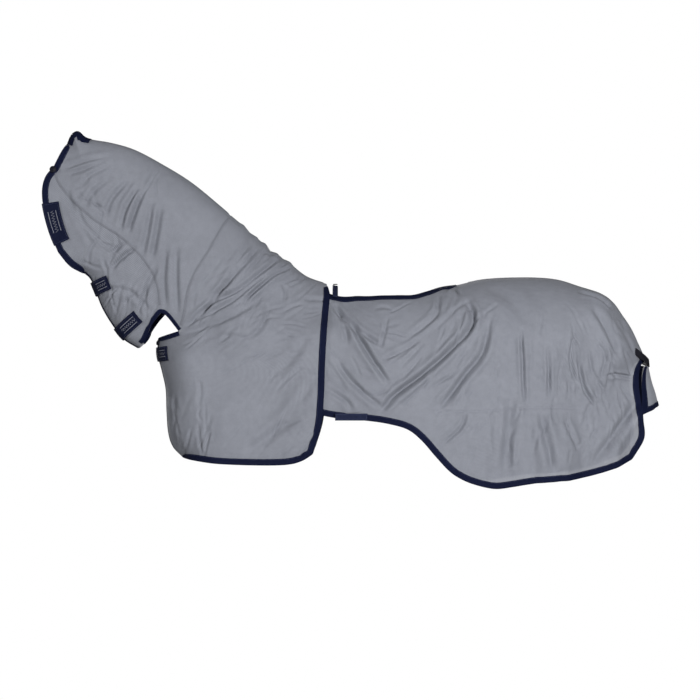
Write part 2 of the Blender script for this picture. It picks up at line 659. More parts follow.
# %% [markdown]
# ## From a net of points to a piece
# A panel, a tape and a tab are all nets: rows and columns of points.  One
# helper turns a net into a mesh with a UV map in metres, measured along the
# cloth itself, and faces it away from the horse.  Modifiers that give it
# thickness are worked out at once, so a finished piece is a plain mesh.

# %% Make a piece from a net


def placed(name, data):
    """A new object in the scene that shows the data."""
    obj = bpy.data.objects.new(name, data)
    bpy.context.scene.collection.objects.link(obj)
    return obj


def facing_out(p, side):
    """+1 where the net's own direction already points away from the centre plane."""
    n = net_normals(p)
    return 1.0 if (n[..., 1] * side).sum() > 0 else -1.0


def net_piece(name, p, finish, thick=0.0, flip=False):
    """A net p[i, j] as an object, with UVs in metres; u runs along i, and v along j."""
    nu, nv = p.shape[0], p.shape[1]
    k = np.arange(nu * nv).reshape(nu, nv)
    quads = np.stack([k[:-1, :-1], k[1:, :-1], k[1:, 1:], k[:-1, 1:]], axis=-1).reshape(-1, 4)
    if flip:
        quads = quads[:, ::-1]
    mesh = bpy.data.meshes.new(name)
    mesh.from_pydata(p.reshape(-1, 3).tolist(), [], quads.tolist())
    u = np.concatenate([[0], np.cumsum(np.linalg.norm(np.diff(p, axis=0), axis=-1).mean(1))])
    v = np.concatenate([[0], np.cumsum(np.linalg.norm(np.diff(p, axis=1), axis=-1).mean(0))])
    uv = np.stack(np.meshgrid(u, v, indexing="ij"), axis=-1).reshape(-1, 2)
    loops = np.empty(len(mesh.loops), int)
    mesh.loops.foreach_get("vertex_index", loops)
    mesh.uv_layers.new(name="cloth").data.foreach_set("uv", uv[loops].ravel())
    mesh.materials.append(finish)
    obj = placed(name, mesh)
    if thick:
        wall = obj.modifiers.new("wall", "SOLIDIFY")
        wall.thickness, wall.offset = thick, 0.0
        soft = obj.modifiers.new("soft edge", "BEVEL")
        soft.width, soft.segments, soft.limit_method, soft.angle_limit = thick * 0.28, 2, "ANGLE", 1.0
    settled(obj)
    obj.data.shade_smooth()
    return obj


def settled(obj):
    """Replace the object's mesh by what its modifiers make of it."""
    if not obj.modifiers:
        return
    bpy.context.view_layer.update()
    shown = obj.evaluated_get(bpy.context.evaluated_depsgraph_get())
    made = bpy.data.meshes.new_from_object(shown)
    made.name = obj.name
    obj.modifiers.clear()
    obj.data = made


def sewn(obj, body, finish_slot, *nodes):
    """Let a finished piece move with its body, and stand for its CAD nodes."""
    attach(obj, body)
    if nodes:
        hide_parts(*nodes)
    return obj


SIDES = {-1: "left", 1: "right"}
FRONT, REAR = "front_section", "rear_section"
print("helpers ready")

# %% [markdown]
# ## The cloth panels
# Four panels a side make the sheet: neck, cheek and shoulder on the front
# section, and the long body on the rear.  Each lies between four sewn lines.
# A Coons patch fills such a space: it blends the four lines so that the rows
# of the net run with the edges.  Rows are closer where the cloth turns over
# the crest, the jaw or the chest.  Each panel is a single sheet, because real
# mesh is under a millimetre thick, and its bound edges hide the cut.

# %% Nets of the four panels
CREST_ROWS = [0.0, 0.055, 0.16, 0.33, 0.55, 0.78, 1.0]
JAW_ROWS = [0.0, 0.28, 0.54, 0.75, 0.90, 1.0]
CHEST_COLUMNS = [0.0, 0.03, 0.09, 0.18, 0.30, 0.44, 0.58, 0.72, 0.86, 1.0]
REAR_EDGE_ROWS = [0, 0.045, 0.10, 0.165, 0.235, 0.31, 0.39, 0.46, 0.53, 0.61, 0.69, 0.77, 0.85, 0.925, 1.0]
BODY_ROWS = [0, 0.07, 0.16, 0.27, 0.39, 0.52, 0.64, 0.76, 0.88, 1.0]


def finer(steps, count, crowd_start=False, crowd_end=False):
    """Split each step of a list of fractions, crowding the points towards a round edge."""
    out = [np.array([steps[0]])]
    for k, (a, b) in enumerate(zip(steps[:-1], steps[1:])):
        t = np.linspace(0, 1, count + 1)[1:]
        if crowd_start and k == 0:
            t = t ** 2
        if crowd_end and k == len(steps) - 2:
            t = 1 - (1 - t) ** 2
        out.append(a + (b - a) * t)
    return np.concatenate(out)


def coons(top, bottom, left, right):
    """Net of side-view points between four lines that share their corners."""
    def shares(one, other):
        far = [lengths(line) / lengths(line)[-1] for line in (one, other)]
        return (far[0] + far[1]) / 2
    u, v = shares(top, bottom)[:, None, None], shares(left, right)[None, :, None]
    across = (1 - v) * top[:, None] + v * bottom[:, None]
    down = (1 - u) * left[None] + u * right[None]
    corners = ((1 - u) * (1 - v) * top[0] + u * (1 - v) * top[-1]
               + (1 - u) * v * bottom[0] + u * v * bottom[-1])
    return across + down - corners


DENSE = 17


def neck_outline():
    rows = finer(CREST_ROWS, DENSE, crowd_start=True)
    bottom = joined(spline(CHEEK_SEAM, even(10 * DENSE)), spline(NOTCH_EDGE, even(2 * DENSE)))
    return coons(spline(CREST, even(12 * DENSE)), bottom, spline(BROW_EDGE, rows), spline(NECK_SEAM, rows))


def cheek_outline():
    rows = finer(JAW_ROWS, DENSE + 1, crowd_end=True)
    return coons(spline(CHEEK_SEAM, even(10 * DENSE)), spline(JAW_EDGE, even(10 * DENSE)),
                 spline(CHEEK_EDGE, rows), spline(THROAT_EDGE[::-1], rows))


def shoulder_outline():
    columns = finer(CHEST_COLUMNS, DENSE + 1, crowd_start=True)
    left = joined(spline(NECK_SEAM, finer(CREST_ROWS, DENSE, crowd_start=True)),
                  spline(CHEST_CORNER, even(2 * DENSE)), spline(CHEST_EDGE, even(6 * DENSE)))
    return coons(spline(WITHERS, columns), spline(FRONT_HEM, columns), left,
                 spline(FRONT_REAR_EDGE, finer(REAR_EDGE_ROWS, DENSE)))


def body_outline():
    top = joined(spline(SADDLE_EDGE, even(8 * DENSE)), spline(CROUP, even(12 * DENSE)))
    rows = finer(BODY_ROWS, DENSE + 3, crowd_start=True)
    return coons(top, spline(REAR_HEM, even(20 * DENSE)), spline(HIDDEN_EDGE, rows), spline(TAIL_EDGE, rows))


PANELS = {"neck": (neck_outline(), FRONT), "cheek": (cheek_outline(), FRONT),
          "shoulder": (shoulder_outline(), FRONT), "body": (body_outline(), REAR)}
for panel, (outline, _) in PANELS.items():
    print(panel, "net of %d x %d points" % outline.shape[:2])

# %% [markdown]
# ## Sew the panels
# Each outline is laid on the body twice, once a side, and declared as a sheet
# with the size it was cut to.  The cut size is the length of the smooth net
# before any fold, so the folds show up as a little spare cloth.

# %% Lay the panels on the body


def area_of(p):
    a = np.linalg.norm(np.cross(p[1:, :-1] - p[:-1, :-1], p[:-1, 1:] - p[:-1, :-1]), axis=-1)
    b = np.linalg.norm(np.cross(p[1:, :-1] - p[1:, 1:], p[:-1, 1:] - p[1:, 1:]), axis=-1)
    return float((a + b).sum() / 2)


def cut_size(p):
    """Longest row, longest column and area of a net, as the cloth would lie flat."""
    across = np.linalg.norm(np.diff(p, axis=0), axis=-1).sum(0).max()
    down = np.linalg.norm(np.diff(p, axis=1), axis=-1).sum(1).max()
    return float(across), float(down), area_of(p)


panel_pieces = {}
for panel, (outline, body) in PANELS.items():
    for side, word in SIDES.items():
        lay = cloth(outline, side, rear=panel == "body")
        smooth_lay = np.stack([outline[..., 0], half_width(outline[..., 0], outline[..., 1]),
                               outline[..., 1]], axis=-1)
        name = "%s_%s" % (panel, word)
        obj = net_piece("cloth_" + name, lay, mesh_cloth, flip=facing_out(lay, side) < 0)
        sewn(obj, body, "mesh_grey", name)
        across, down, area = cut_size(smooth_lay)
        panel_pieces[name] = (obj, across, down, area)
        if side < 0:
            print("%s: %.2f x %.2f m, %.3f m2 of cloth" % (name, across, down, area))

# %% [markdown]
# ## The binding
# A tape is folded over the raw edge and sewn through: an outer lip, a turn
# round the edge, and an inner lip, each 20 mm deep.  The edge is a line in the
# side view.  At each station the depth is walked inwards along the cloth, so
# the tape keeps its width where the cloth turns round the jaw.  At a corner
# the inward directions are averaged, which folds the tape into a mitre.

# %% Walk inwards from an edge
LIP = 0.020
DEPTHS = np.array([0.0, 0.12, 0.32, 0.58, 0.82, 1.0])


def in_the_view(line, inside_point):
    """Unit directions that point from an edge line into its panel."""
    t = np.gradient(line, axis=0)
    t /= np.linalg.norm(t, axis=1, keepdims=True)
    n = np.stack([-t[:, 1], t[:, 0]], axis=1)
    middle = len(line) // 2
    if ((np.array(inside_point) - line[middle]) * n[middle]).sum() < 0:
        n = -n
    return n


def mitred(line, n, reach):
    """Average the inward directions over the tape's own depth, and lengthen them at a corner."""
    far = lengths(line)
    wide = np.zeros_like(n)
    for k, here in enumerate(far):
        w = np.clip(1 - np.abs(far - here) / reach, 0, 1)
        wide[k] = (n * w[:, None] * np.gradient(far)[:, None]).sum(0)
    wide /= np.linalg.norm(wide, axis=1, keepdims=True)
    return wide / np.clip((wide * n).sum(1), 0.65, 1.0)[:, None]


def strip_net(line, inside, side, rear=False, depth=LIP, shares=DEPTHS):
    """Net of the cloth along an edge: station by station, and lip depth by lip depth."""
    depth = np.broadcast_to(depth, len(line))
    n = mitred(line, in_the_view(line, inside), float(depth.mean()))
    probe = depth[:, None] * 1.15 * np.linspace(0, 1, 26) ** 2
    walk = cloth(line[:, None] + n[:, None] * probe[..., None], side, rear)
    out = np.empty((len(line), len(shares), 3))
    stretch = np.linalg.norm(n, axis=1)
    for k in range(len(line)):
        far = lengths(walk[k])
        want = np.minimum(shares * depth[k] * stretch[k], far[-1])
        for c in range(3):
            out[k, :, c] = np.interp(want, far, walk[k, :, c])
    return out


def evened(line, gap=0.006):
    """The same line with its points a few millimetres apart."""
    return along(line, even(max(3, int(round(lengths(line)[-1] / gap)))))


def folded_tape(name, strip, side, finish, high=0.0013, thick=0.0008, turn=0.0012):
    """Tape folded round the edge of a strip of cloth; turn is how far it stands beyond the edge."""
    turn = np.broadcast_to(turn, len(strip))[:, None, None]
    n = net_normals(strip) * facing_out(strip, side)
    out = strip[:, 0] - strip[:, 1]
    out /= np.linalg.norm(out, axis=1, keepdims=True)
    outer = strip + n * high
    inner = strip - n * high
    edge = strip[:, :1] + out[:, None] * turn
    rows = [outer[:, ::-1], edge + n[:, :1] * high * 0.7, edge + out[:, None] * high * 0.45,
            edge - n[:, :1] * high * 0.7, inner]
    return net_piece(name, np.concatenate(rows, axis=1), finish, thick=thick), outer


def stitch_line(outer, share=0.84):
    """A line of points on the tape's outer face, at a share of its depth."""
    k = np.interp(share, DEPTHS, np.arange(len(DEPTHS)))
    a, t = int(k), k - int(k)
    return outer[:, a] * (1 - t) + outer[:, min(a + 1, outer.shape[1] - 1)] * t


stitch_runs = {}


def keep_stitches(body, line, colour="navy"):
    """Keep a line for the sewing machine."""
    stitch_runs.setdefault((body, colour), []).append(line)


def remember_stitches(body, line, lift, side, colour="navy"):
    """Keep a line raised sideways to the face it is sewn through."""
    keep_stitches(body, line + np.array([0, side * lift, 0]), colour)


print("lip %.0f mm deep, %d points across each face" % (1000 * LIP, len(DEPTHS)))

# %% [markdown]
# ## Bind every edge
# The front section has five bound edges a side: face and jaw, throat, collar,
# chest, and hem with the rear edge.  The rear section has two: the saddle
# cut-out, and one long run down the hidden front edge, along the hem and up
# beside the tail.  Each run is one tape, as it is in the sewing room.

# %% Bindings of both sections
EDGES = [
    # name, body, line, a point inside the panel, rear section?, cut off the start and end, height, lip
    ("face_binding", FRONT, joined(spline(BROW_EDGE, even(20)), spline(CHEEK_EDGE, even(60)),
                                   spline(JAW_EDGE, even(110))),
     (-0.78, 0.05), False, 0.001, 0.003, 0.0013, LIP),
    ("throat_binding", FRONT, joined(spline(THROAT_EDGE, even(40)), spline(NOTCH_EDGE, even(30))),
     (-0.66, -0.08), False, LIP + 0.001, 0.003, 0.0013, 0.013),
    ("collar_binding", FRONT, spline(CHEST_CORNER, even(24)), (-0.50, -0.30), False,
     0.002, 0.003, 0.0017, 0.016),
    ("chest_binding", FRONT, spline(CHEST_EDGE, even(80)), (-0.45, -0.40), False, 0.0, 0.0, 0.0013, 0.024),
    ("front_hem_binding", FRONT, joined(spline(FRONT_HEM, even(90)),
                                        spline(FRONT_REAR_EDGE[::-1], even(110))),
     (-0.25, -0.40), False, 0.001, 0.012, 0.0018, LIP),
    ("saddle_binding", REAR, spline(SADDLE_EDGE, even(90)), (0.2, -0.3), True, 0.004, 0.004, 0.0013, 0.030),
    ("rear_hem_binding", REAR, joined(spline(HIDDEN_EDGE, even(80)), spline(REAR_HEM, even(200)),
                                      spline(TAIL_EDGE[::-1], even(70))),
     (0.55, -0.35), True, LIP + 0.004, 0.004, 0.0013, LIP),
]


def shortened(line, start, end):
    far = lengths(line)
    return along(line, np.linspace(start / far[-1], 1 - end / far[-1], len(line)))


def fullness(name, line):
    """How far the tape stands beyond the edge: more down the jaw and chest, where it is eased round."""
    if name == "chest_binding":
        return 0.0046
    if name == "face_binding":
        return 0.0012 + 0.0030 * smoothly(0.14, 0.02, line[:, 1])
    return 0.0012


hem_pieces = {}
for name, body, line, inside, rear, start, end, high, lip in EDGES:
    line = evened(shortened(line, start, end))
    for side, word in SIDES.items():
        wide = lip + 0.016 * smoothly(0.28, 0.44, line[:, 0]) if name == "saddle_binding" else lip
        strip = strip_net(line, inside, side, rear, wide)
        full = "%s_%s" % (name, word)
        obj, outer = folded_tape("tape_" + full, strip, side, binding_tape, high, turn=fullness(name, line))
        sewn(obj, body, "binding_navy", full)
        hem_pieces[full] = obj
        remember_stitches(body, stitch_line(outer), 0.0006, side)
    print("%s: %.2f m a side" % (name, lengths(strip[:, 0])[-1]))

# %% [markdown]
# ## Crest, spine and panel seams
# Left and right panels meet in a seam along the top of the neck and croup, and
# a narrow strip of the same mesh covers it.  The cheek and neck seams are
# covered in the same way.  Each strip is a net laid across its seam.

# %% Strips over the seams
SEAM_HALF = 0.0040


def top_strip(name, line, half, high, thick, finish, body, finish_slot, node):
    """A strip folded over the top line, from the left side to the right."""
    line = evened(line)
    inside = line[len(line) // 2] - np.array([0, 0.1])
    shares = np.array([0.0, 0.15, 0.4, 0.7, 1.0])
    parts = []
    for side in (-1, 1):
        strip = strip_net(line, inside, side, depth=half, shares=shares)
        n = net_normals(strip) * facing_out(strip, side)
        n[:, 0] = n[:, 0] * [1, 0, 1]
        up = -in_the_view(line, inside)
        n[:, 0] = np.stack([up[:, 0], 0 * up[:, 0], up[:, 1]], axis=1)
        lifted = strip + n * high
        lifted[:, 0, 1] = 0
        parts.append(lifted)
    p = np.concatenate([parts[0][:, ::-1], parts[1][:, 1:]], axis=1)
    obj = net_piece(name, p, finish, thick=thick)
    sewn(obj, body, finish_slot, node)


def seam_strip(name, points, start, end, body, node, side):
    """A strip laid across a seam on one side."""
    line = evened(shortened(spline(points, even(100)), start, end), 0.005)
    n = in_the_view(line, line[len(line) // 2] + np.array([0.0, -0.1]))
    across = np.linspace(-SEAM_HALF, SEAM_HALF, 5)
    swell = 0.0010 + 0.0007 * (1 - (across / SEAM_HALF) ** 2)
    xz = line[:, None] + n[:, None] * across[None, :, None]
    p = cloth(xz, side, extra=np.tile(swell, len(line)))
    obj = net_piece(name, p, seam_cloth, thick=0.0006)
    sewn(obj, body, "mesh_grey", node)
    for k in (1, 3):
        remember_stitches(body, p[:, k], 0.0004, side, "grey")
    return obj


neck_top = spline(CREST, np.linspace(0.13, 0.985, 120))
top_strip("crest_strip", neck_top, 0.013, 0.0012, 0.0007, seam_cloth, FRONT,
          "mesh_grey", "neck_crest_tape")
withers_top = spline(WITHERS, np.linspace(0.0, 0.97, 80))
top_strip("withers_strip", withers_top, 0.013, 0.0012, 0.0007, seam_cloth, FRONT,
          "mesh_grey", "withers_crest_tape")
croup_top = spline(CROUP, np.linspace(0.05, 0.97, 120))
top_strip("spine_strip", croup_top, 0.014, 0.0012, 0.0007, seam_cloth, REAR,
          "mesh_grey", "spine_tape")
top_strip("poll_strip", spline(CREST, np.linspace(0.0, 0.17, 28)), 0.046, 0.0028, 0.0012,
          binding_tape, FRONT, "binding_navy", "poll_band")
for side, word in SIDES.items():
    seam_strip("cheek_seam_%s" % word, CHEEK_SEAM, 0.022, 0.024, FRONT, "cheek_seam_tape_%s" % word, side)
    seam_strip("neck_seam_%s" % word, NECK_SEAM, 0.016, 0.022, FRONT, "neck_seam_tape_%s" % word, side)
print("seam strips %.0f mm wide" % (2000 * SEAM_HALF))

# %% [markdown]
# ## Closure tabs
# Three tabs hold the front edges together: two under the throat and one on the
# chest.  Each is hook and loop webbing, sewn at its left end, that wraps
# round the front.  The face needs a rounded path that clears the binding, so
# the tab stands off the body by the same amount in every direction.

# %% Tabs round the front
TAB_THICK = 0.0025
TAB_WIDTH = 0.050
TAB_HIGH = 0.0010 + 0.0010 + 0.0012 + 0.0006 + TAB_THICK / 2


def stand_off(spot, inward, deep, high):
    """Half width of a shape that stands evenly off the body."""
    turns = np.radians(np.arange(0, 91, 5))
    near = np.maximum(deep[..., None] + high * np.sin(turns), 0.0)
    xz = spot[..., None, :] + inward * near[..., None]
    return (half_width(xz[..., 0], xz[..., 1]) + high * np.cos(turns)).max(-1)


def front_tab(node, line_points, fraction, reach, ease, motif):
    line = smooth_curve(line_points)
    half = TAB_WIDTH / 2 / lengths(line)[-1]
    a, base, b = along(line, [fraction - half, fraction, fraction + half])
    along_dir = (b - a) / np.hypot(*(b - a))
    inward = np.array([-along_dir[1], along_dir[0]])
    inward = inward if inward[0] > 0 else -inward
    high = TAB_HIGH + ease
    spots = along(line, np.linspace(fraction - half, fraction + half, 13))
    s = np.linspace(1, 0, 26)[:-1]
    deep = (reach + high) * s ** 1.7 - high
    spot = spots[None] + inward * deep[:, None, None]
    y = stand_off(np.repeat(spots[None], len(s), 0), inward, np.repeat(deep[:, None], 13, 1), high)
    left = np.stack([spot[..., 0], -y, spot[..., 1]], axis=-1)
    ahead = spots - inward * (high + 0.0005)
    centre = np.stack([ahead[:, 0], 0 * ahead[:, 0], ahead[:, 1]], axis=-1)[None]
    right = left[::-1] * [1, -1, 1]
    p = np.concatenate([left, centre, right])
    finish = striped_tab("tab_stripe_" + node, TAB_WIDTH / 2, *motif)
    obj = net_piece("closure_" + node, p, finish, thick=TAB_THICK)
    sewn(obj, node, "tab_navy", node)
    n = net_normals(p) * facing_out(p[:10], -1)
    face = p + n * (TAB_THICK / 2 + 0.0001)
    ring = np.concatenate([face[2:-2, 1], face[-3, 1:-1], face[2:-2, -2][::-1], face[2, 1:-1][::-1]])
    keep_stitches(node, ring)
    return lengths(p[:, 6])[-1]


for node, points, fraction, reach, ease, motif in (
        ("throat_tab_upper", JAW_EDGE[3:], 0.12, 0.060, 0.0011, (0.012, 0.062)),
        ("throat_tab_lower", JAW_EDGE[3:], 0.72, 0.094, 0.0005, (0.014, 0.088)),
        ("chest_tab", CHEST_EDGE, 0.13, 0.038, 0.0007, (0.010, 0.060))):
    long = front_tab(node, points, fraction, reach, ease, motif)
    print("%s: %.0f mm long" % (node, 1000 * long))

# %% [markdown]
# ## Cheek patches and girth tabs
# A patch of the same webbing is sewn along the face opening on each side.  The
# girth tab hangs flat on the hem behind the elbow, for the girth to hold down.
# Both are small flat pieces with a line of stitches inside their edge.

# %% Patches and girth tabs


def bordered_ring(face, gap=1):
    """A closed line just inside the edge of a net."""
    return np.concatenate([face[gap:-gap, gap], face[-1 - gap, gap:-gap],
                           face[gap:-gap, -1 - gap][::-1], face[gap, gap:-gap][::-1]])


def cheek_patch(side, word):
    line = smooth_curve(CHEEK_EDGE)
    f = np.linspace(0.44, 0.92, 29)
    base = along(line, f)
    step = along(line, f + 0.03) - along(line, f - 0.03)
    step /= np.linalg.norm(step, axis=1, keepdims=True)
    inward = np.stack([-step[:, 1], step[:, 0]], axis=1)
    inward *= np.where(inward[:, :1] > 0, 1.0, -1.0)
    deep = np.linspace(-0.005, 0.055, 15)
    xz = base[:, None] + inward[:, None] * deep[None, :, None]
    x, z = xz[..., 0], xz[..., 1]
    p = np.stack([x, -half_width(x, z), z], axis=-1)
    p = p + form_normal(x.ravel(), z.ravel()).reshape(p.shape) * (TAB_HIGH + 0.0002)
    p = p * [1, -side, 1]
    obj = net_piece("patch_%s" % word, p, patch_finish, thick=TAB_THICK)
    sewn(obj, FRONT, "tab_navy", "cheek_patch_%s" % word)
    n = net_normals(p) * facing_out(p, side)
    keep_stitches(FRONT, bordered_ring(p + n * (TAB_THICK / 2 + 0.0001)))
    return lengths(p[:, 6])[-1]


def girth_tab(side, word):
    low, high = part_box("girth_tab_%s" % word)
    # The model's plate is a thin box turned a little about Z.
    y_near, y_far = (high[1], low[1]) if side < 0 else (low[1], high[1])
    slope = (y_far - y_near) * 0.72
    x = np.linspace(low[0] + 0.0012, high[0] - 0.0012, 33)
    z = np.linspace(low[2], high[2], 9)
    t = np.linspace(-0.5, 0.5, 33)
    middle = (y_near + y_far) / 2
    y = middle + slope * t
    p = np.stack([np.repeat(x[:, None], 9, 1), np.repeat(y[:, None], 9, 1),
                  np.repeat(z[None], 33, 0)], axis=-1)
    p[..., 1] += side * 0.0006 * np.sin(np.repeat(t[:, None], 9, 1) * 9)
    obj = net_piece("girth_webbing_%s" % word, p, webbing, thick=0.0026)
    sewn(obj, "girth_tab_%s" % word, "tab_navy", "girth_tab_%s" % word)
    n = net_normals(p) * facing_out(p, side)
    keep_stitches("girth_tab_%s" % word, bordered_ring(p + n * 0.0014))


patch_finish = striped_tab("patch_stripe", 0.030, 0.030, 0.105)
for side, word in SIDES.items():
    long = cheek_patch(side, word)
    girth_tab(side, word)
print("cheek patch %.0f mm long" % (1000 * long))

# %% [markdown]
# ## Toggles
# A toggle is a moulded button with a domed face and a rolled rim.  Its side
# view is a short curve, and turning that curve about the button's own axis
# makes the whole shape.  Four small holes with thread would be the other usual
# kind, but this one is held by a shank.

# %% Domed toggles


def domed_toggle(name, node, side):
    """A button turned from a profile, standing where its CAD node stands."""
    low, high = (np.array(c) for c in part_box(node))
    centre = (low + high) / 2
    n = form_normal(np.array([centre[0]]), np.array([centre[2]]))[0] * [1, -side, 1]
    radius = (high - low)[[0, 2]].max() / 2
    tall = min(np.abs(high - low)[1] / 2, radius * 0.5)
    profile = [(0.0, -0.95), (0.55, -0.95), (0.80, -0.80), (0.96, -0.35), (1.0, 0.05), (0.95, 0.42),
               (0.86, 0.58), (0.78, 0.52), (0.70, 0.50), (0.52, 0.72), (0.28, 0.90), (0.0, 0.97)]
    a = np.linspace(0, 2 * math.pi, 33)[:-1]
    first = np.cross(n, [0, 0, 1.0])
    first /= np.linalg.norm(first)
    second = np.cross(n, first)
    bm = bmesh.new()
    rings = []
    for r, h in profile:
        if r == 0:
            rings.append([bm.verts.new(centre + n * h * tall)])
        else:
            rings.append([bm.verts.new(centre + n * h * tall
                                       + (first * math.cos(t) + second * math.sin(t)) * r * radius)
                          for t in a])
    for one, two in zip(rings[:-1], rings[1:]):
        for k in range(32):
            corners = [one[k % len(one)], one[(k + 1) % len(one)], two[(k + 1) % len(two)], two[k % len(two)]]
            bm.faces.new(list(dict.fromkeys(corners)))
    bmesh.ops.recalc_face_normals(bm, faces=bm.faces)
    mesh = bpy.data.meshes.new(name)
    bm.to_mesh(mesh)
    bm.free()
    mesh.materials.append(toggle_finish)
    mesh.shade_smooth()
    obj = placed(name, mesh)
    return sewn(obj, FRONT, "toggle_black", node)


for side, word in SIDES.items():
    brow = domed_toggle("brow_button_%s" % word, "brow_toggle_%s" % word, side)
    domed_toggle("collar_button_%s" % word, "collar_toggle_%s" % word, side)
print("4 toggles of %d faces" % len(brow.data.polygons))

# %% [markdown]
# ## The withers band and its loop
# A band of webbing joins the two front corners of the rear section over the
# withers.  An elastic loop stands on it, and the front section is tied there.

# %% Band over the withers


def withers_band():
    rows = []
    for x in np.linspace(0.027, 0.045, 7):
        edge = float(np.interp(x, [0.0, 0.065], [-0.026, -0.042]))
        top = float(np.interp(x, TOP_LINE[:, 0], TOP_LINE[:, 1]))
        s = np.concatenate([np.linspace(1, 0.24, 18), np.linspace(0.20, 0.03, 8)])
        z = top + (edge - 0.012 - top) * s
        xs = np.full_like(z, x)
        high = TAB_HIGH + 0.0036 - REAR_DROP * (1 - float(smoothly(*TUCKED_AWAY, x)))
        left = np.stack([xs, -half_width(xs, z), z], axis=-1) + form_normal(xs, z) * high
        crown = np.array([[x, 0, top + high]])
        rows.append(np.concatenate([left, crown, left[::-1] * [1, -1, 1]]))
    p = np.array(rows).transpose(1, 0, 2)
    obj = net_piece("withers_webbing", p, webbing, thick=TAB_THICK)
    sewn(obj, REAR, "tab_navy", "withers_band")
    n = net_normals(p)
    n *= 1.0 if n[len(p) // 2, 5, 2] > 0 else -1.0
    keep_stitches(REAR, bordered_ring(p + n * (TAB_THICK / 2 + 0.0001)))
    return lengths(p[:, 5])[-1]


def elastic_loop():
    """A ring of round elastic with a fine braid, as its CAD node lies."""
    low, high = (np.array(c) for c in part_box("withers_loop"))
    centre = (low + high) / 2
    minor = (high - low)[2] / 2
    major = (high - low)[0] / 2 - minor
    a = np.linspace(0, 2 * math.pi, 97)[:, None]
    b = np.linspace(0, 2 * math.pi, 17)[None]
    braid = 1 + 0.05 * np.sin(a * 40 + b * 2)
    r = major + minor * braid * np.cos(b) * 0.96
    p = np.stack([r * np.cos(a), r * np.sin(a), minor * 0.96 * braid * np.sin(b) + 0 * a], axis=-1) + centre
    obj = net_piece("elastic_loop", p, strap_black)
    bm = bmesh.new()
    bm.from_mesh(obj.data)
    bmesh.ops.remove_doubles(bm, verts=bm.verts, dist=1e-6)
    bmesh.ops.recalc_face_normals(bm, faces=bm.faces)
    bm.to_mesh(obj.data)
    bm.free()
    return sewn(obj, REAR, "toggle_black", "withers_loop")


print("withers band %.0f mm over the top" % (1000 * withers_band()))
elastic_loop()

# %% [markdown]
# ## Tail band and tail flap
# A black band passes behind the tail, from one side of the rear section to the
# other.  A small flap of mesh hangs from it to keep flies off the dock.  Its
# top edge is sewn to the band and its other three edges are bound.

# %% Tail band
BAND_END, BAND_REAR, BAND_TALL = (1.068, -0.236), (1.1320, -0.279), 0.024


def tail_band():
    end = np.array([BAND_END])
    side_point = np.array([[BAND_END[0], -half_width(end[:, 0], end[:, 1])[0], BAND_END[1]]])
    outer = (side_point + form_normal(end[:, 0], end[:, 1]) * 0.0034)[0]
    rows = []
    for k in np.linspace(-6, 6, 73):
        t = abs(k) / 6
        x = BAND_REAR[0] + (outer[0] - BAND_REAR[0]) * t ** 2
        z = BAND_REAR[1] + (outer[2] - BAND_REAR[1]) * t ** 2
        y = outer[1] * math.sin(t * math.pi / 2) * (1 if k < 0 else -1)
        tilt = np.array([0.25 * t * t - 0.10, 0.0, 1.0])
        tilt *= BAND_TALL / 2 / np.linalg.norm(tilt)
        rows.append([np.array([x, y, z]) + tilt * s for s in np.linspace(-1, 1, 7)])
    p = np.array(rows)
    obj = net_piece("tail_strap", p, strap_black, thick=0.0019)
    sewn(obj, REAR, "binding_navy", "tail_band")
    return lengths(p[:, 3])[-1]


print("tail band %.0f mm long" % (1000 * tail_band()))

# %% Tail flap
FLAP_LINE = [(1.1320, -0.2916), (1.143, -0.340), (1.157, -0.385), (1.166, -0.425)]
FLAP_LIP = 0.016


def flap_point(s, t):
    """Place on the flap: s from -1 (right) to 1 (left), t from 0 at the top to 1 at the foot."""
    centre = along(smooth_curve(FLAP_LINE), np.clip(t.ravel(), 0, 1)).reshape(t.shape + (2,))
    half = 0.066 + 0.040 * t
    back = 0.013 + 0.040 * np.sqrt(t) + 0.014 * t
    rise = 0.0062 * (1 - t) - 0.030 * t
    wave = 0.0016 * np.sin(s * 7.5 + 0.6) * t + 0.0010 * np.sin(s * 17.0) * t * t
    return np.stack([centre[..., 0] - back * s * s + wave, half * s,
                     centre[..., 1] + rise * s * s], axis=-1)


def flap_strip():
    """Strip of cloth round the three bound edges, mitred at the two lower corners."""
    down, wide = 0.145, 0.16
    edge = [(-1.0, t) for t in np.linspace(0.01, 1, 30)] + [(s, 1.0) for s in np.linspace(-1, 1, 45)[1:]]
    edge += [(1.0, t) for t in np.linspace(1, 0.01, 30)[1:]]
    edge = np.array(edge)
    lip_s, lip_t = FLAP_LIP / (wide / 2 + 0.01), FLAP_LIP / down
    inner = np.stack([np.clip(edge[:, 0], -1 + lip_s, 1 - lip_s), np.clip(edge[:, 1], 0, 1 - lip_t)], axis=1)
    st = edge[:, None] + (inner - edge)[:, None] * DEPTHS[None, :, None]
    return flap_point(st[..., 0], st[..., 1])


